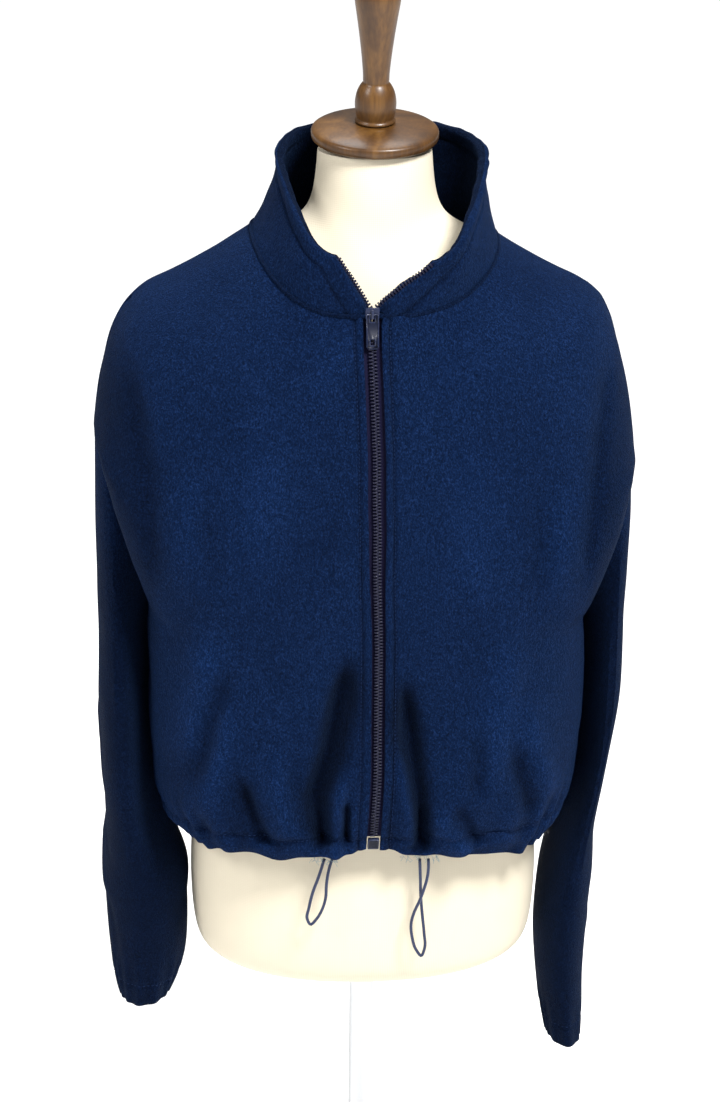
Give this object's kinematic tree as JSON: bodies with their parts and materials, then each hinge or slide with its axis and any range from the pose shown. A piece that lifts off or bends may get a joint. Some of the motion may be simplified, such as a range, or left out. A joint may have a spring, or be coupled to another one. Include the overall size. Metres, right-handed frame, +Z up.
{
  "type": "fleece zip jacket on a dress form",
  "caption": "Navy fleece jacket with a stand collar, a front zip drawn almost to the top and a drawcord hem, worn by a limbless cream dress form with a turned wooden cap and finial on a low stand.",
  "frame": {"origin": "middle of the stand base's flat underside, on the floor", "axes": "+Z up along the form's pole, -Y the way the zip and the front face, +X towards the viewer's right, which is the jacket's own left side"},
  "size_m": [0.4653, 0.3, 1.2187],
  "materials": {
    "navy_fleece": "brushed pile fleece with short directional nap",
    "navy_zip_tape": "woven tape",
    "navy_zip_coil": "satin moulded plastic",
    "navy_zip_metal": "satin enamel",
    "navy_cord": "round braided cord",
    "cream_form_cloth": "plain woven cover",
    "brown_varnished_wood": "satin varnish",
    "brushed_stand_steel": "brushed"
  },
  "bodies": {
    "jacket_on_form": {"front_left": "navy_fleece", "front_right": "navy_fleece", "back": "navy_fleece", "sleeve_left": "navy_fleece", "sleeve_right": "navy_fleece", "collar": "navy_fleece", "zip_tape_left": "navy_zip_tape", "zip_tape_right": "navy_zip_tape", "zip_chain": "navy_zip_coil", "zip_slider": "navy_zip_metal", "zip_bottom_box": "navy_zip_metal", "drawcord_left": "navy_cord", "drawcord_right": "navy_cord", "form_torso": "cream_form_cloth", "form_neck_cap": "brown_varnished_wood", "form_finial": "brown_varnished_wood", "stand_pole": "brushed_stand_steel", "stand_base": "brushed_stand_steel"},
    "pull_tab": {"zip_pull_tab": "navy_zip_metal"}
  },
  "joints": [
    {"name": "pull_tab_swing", "type": "hinge", "parent": "jacket_on_form", "child": "pull_tab", "pos_m": [-0.004, -0.10601, 0.96389], "axis": [-1, 0, 0], "range_deg": [0, 150]}
  ]
}
